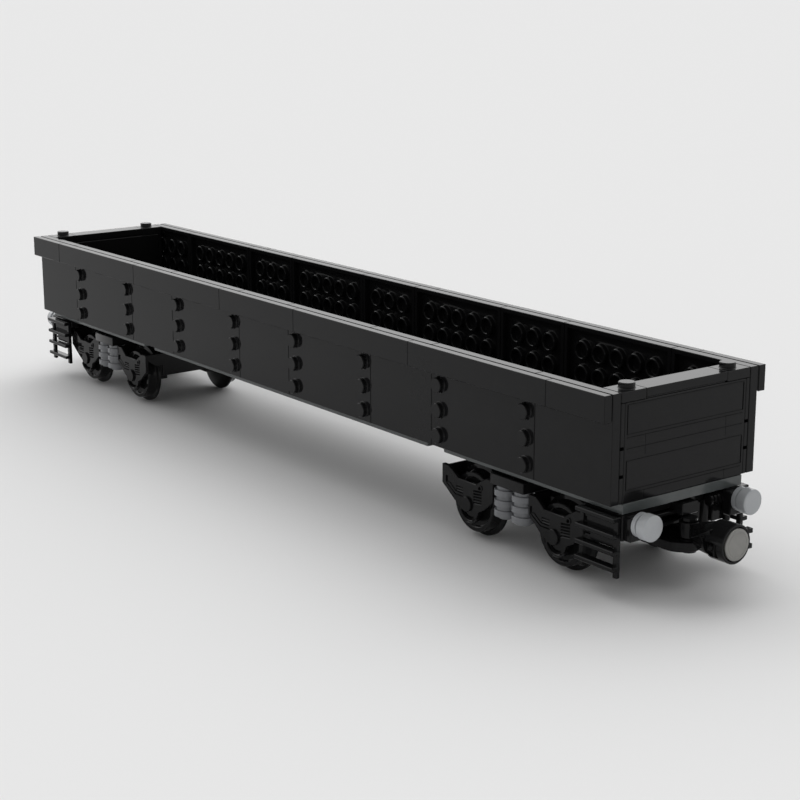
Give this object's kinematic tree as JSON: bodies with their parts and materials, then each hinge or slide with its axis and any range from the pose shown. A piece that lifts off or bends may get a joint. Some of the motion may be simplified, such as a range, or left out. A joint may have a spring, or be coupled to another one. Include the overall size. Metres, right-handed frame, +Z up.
{
  "type": "toy-brick gondola wagon",
  "caption": "Open toy-brick gondola wagon with studded side walls, corner ladders, buffers, magnet couplers and swivelling bogies with flanged wheels.",
  "frame": {"origin": "on the ground under the middle of the wagon", "axes": "+X along the wagon towards its front end, +Y to its left side, +Z up"},
  "size_m": [0.3936, 0.0638, 0.0619],
  "materials": {
    "black_plastic": "glossy black moulded plastic",
    "bluish_grey_plastic": "glossy bluish grey moulded plastic",
    "light_grey_plastic": "glossy light grey moulded plastic",
    "nickel_plate": "satin nickel plate"
  },
  "bodies": {
    "wagon_body": {"base_plate_front": "bluish_grey_plastic", "base_plate_middle": "bluish_grey_plastic", "base_plate_rear": "bluish_grey_plastic", "deck": "black_plastic", "side_panel_right_1": "black_plastic", "side_panel_right_2": "black_plastic", "side_panel_right_3": "black_plastic", "side_panel_right_4": "black_plastic", "side_panel_right_5": "black_plastic", "side_panel_right_6": "black_plastic", "side_panel_right_7": "black_plastic", "side_panel_right_8": "black_plastic", "side_panel_right_9": "black_plastic", "rim_rail_right": "black_plastic", "side_panel_left_1": "black_plastic", "side_panel_left_2": "black_plastic", "side_panel_left_3": "black_plastic", "side_panel_left_4": "black_plastic", "side_panel_left_5": "black_plastic", "side_panel_left_6": "black_plastic", "side_panel_left_7": "black_plastic", "side_panel_left_8": "black_plastic", "side_panel_left_9": "black_plastic", "rim_rail_left": "black_plastic", "end_wall_front": "black_plastic", "end_cap_front": "black_plastic", "headstock_front": "black_plastic", "king_pin_front": "bluish_grey_plastic", "buffer_front_right": "light_grey_plastic", "ladder_front_right": "black_plastic", "buffer_front_left": "light_grey_plastic", "ladder_front_left": "black_plastic", "end_wall_rear": "black_plastic", "end_cap_rear": "black_plastic", "headstock_rear": "black_plastic", "king_pin_rear": "bluish_grey_plastic", "buffer_rear_right": "light_grey_plastic", "ladder_rear_right": "black_plastic", "buffer_rear_left": "light_grey_plastic", "ladder_rear_left": "black_plastic"},
    "bogie_front": {"bolster_front": "black_plastic", "wheel_holder_front_outer": "black_plastic", "wheel_holder_front_inner": "black_plastic", "spring_pair_front_right": "light_grey_plastic", "spring_pair_front_left": "light_grey_plastic", "coupler_pin_front": "nickel_plate"},
    "wheelset_front_outer": {"wheelset_front_outer": "black_plastic"},
    "wheelset_front_inner": {"wheelset_front_inner": "black_plastic"},
    "coupler_front": {"coupler_front": "black_plastic"},
    "magnet_front": {"magnet_front": "nickel_plate"},
    "bogie_rear": {"bolster_rear": "black_plastic", "wheel_holder_rear_outer": "black_plastic", "wheel_holder_rear_inner": "black_plastic", "spring_pair_rear_right": "light_grey_plastic", "spring_pair_rear_left": "light_grey_plastic", "coupler_pin_rear": "nickel_plate"},
    "wheelset_rear_outer": {"wheelset_rear_outer": "black_plastic"},
    "wheelset_rear_inner": {"wheelset_rear_inner": "black_plastic"},
    "coupler_rear": {"coupler_rear": "black_plastic"},
    "magnet_rear": {"magnet_rear": "nickel_plate"}
  },
  "joints": [
    {"name": "bogie_front_swivel", "type": "hinge", "parent": "wagon_body", "child": "bogie_front", "pos_m": [0.128, 0, 0.0231], "axis": [0, 0, 1], "range_deg": [-10, 10]},
    {"name": "wheelset_front_outer_spin", "type": "hinge", "parent": "bogie_front", "child": "wheelset_front_outer", "pos_m": [0.148, 0, 0.0114], "axis": [0, 1, 0], "continuous": true},
    {"name": "wheelset_front_inner_spin", "type": "hinge", "parent": "bogie_front", "child": "wheelset_front_inner", "pos_m": [0.108, 0, 0.0114], "axis": [0, 1, 0], "continuous": true},
    {"name": "coupler_front_swing", "type": "hinge", "parent": "bogie_front", "child": "coupler_front", "pos_m": [0.1784, 0, 0.0171], "axis": [0, 0, 1], "range_deg": [-15, 15]},
    {"name": "magnet_front_spin", "type": "hinge", "parent": "coupler_front", "child": "magnet_front", "pos_m": [0.195, 0, 0.0171], "axis": [1, 0, 0], "continuous": true},
    {"name": "bogie_rear_swivel", "type": "hinge", "parent": "wagon_body", "child": "bogie_rear", "pos_m": [-0.128, 0, 0.0231], "axis": [0, 0, 1], "range_deg": [-10, 10]},
    {"name": "wheelset_rear_outer_spin", "type": "hinge", "parent": "bogie_rear", "child": "wheelset_rear_outer", "pos_m": [-0.148, 0, 0.0114], "axis": [0, 1, 0], "continuous": true},
    {"name": "wheelset_rear_inner_spin", "type": "hinge", "parent": "bogie_rear", "child": "wheelset_rear_inner", "pos_m": [-0.108, 0, 0.0114], "axis": [0, 1, 0], "continuous": true},
    {"name": "coupler_rear_swing", "type": "hinge", "parent": "bogie_rear", "child": "coupler_rear", "pos_m": [-0.1784, 0, 0.0171], "axis": [0, 0, 1], "range_deg": [-15, 15]},
    {"name": "magnet_rear_spin", "type": "hinge", "parent": "coupler_rear", "child": "magnet_rear", "pos_m": [-0.195, 0, 0.0171], "axis": [1, 0, 0], "continuous": true}
  ]
}
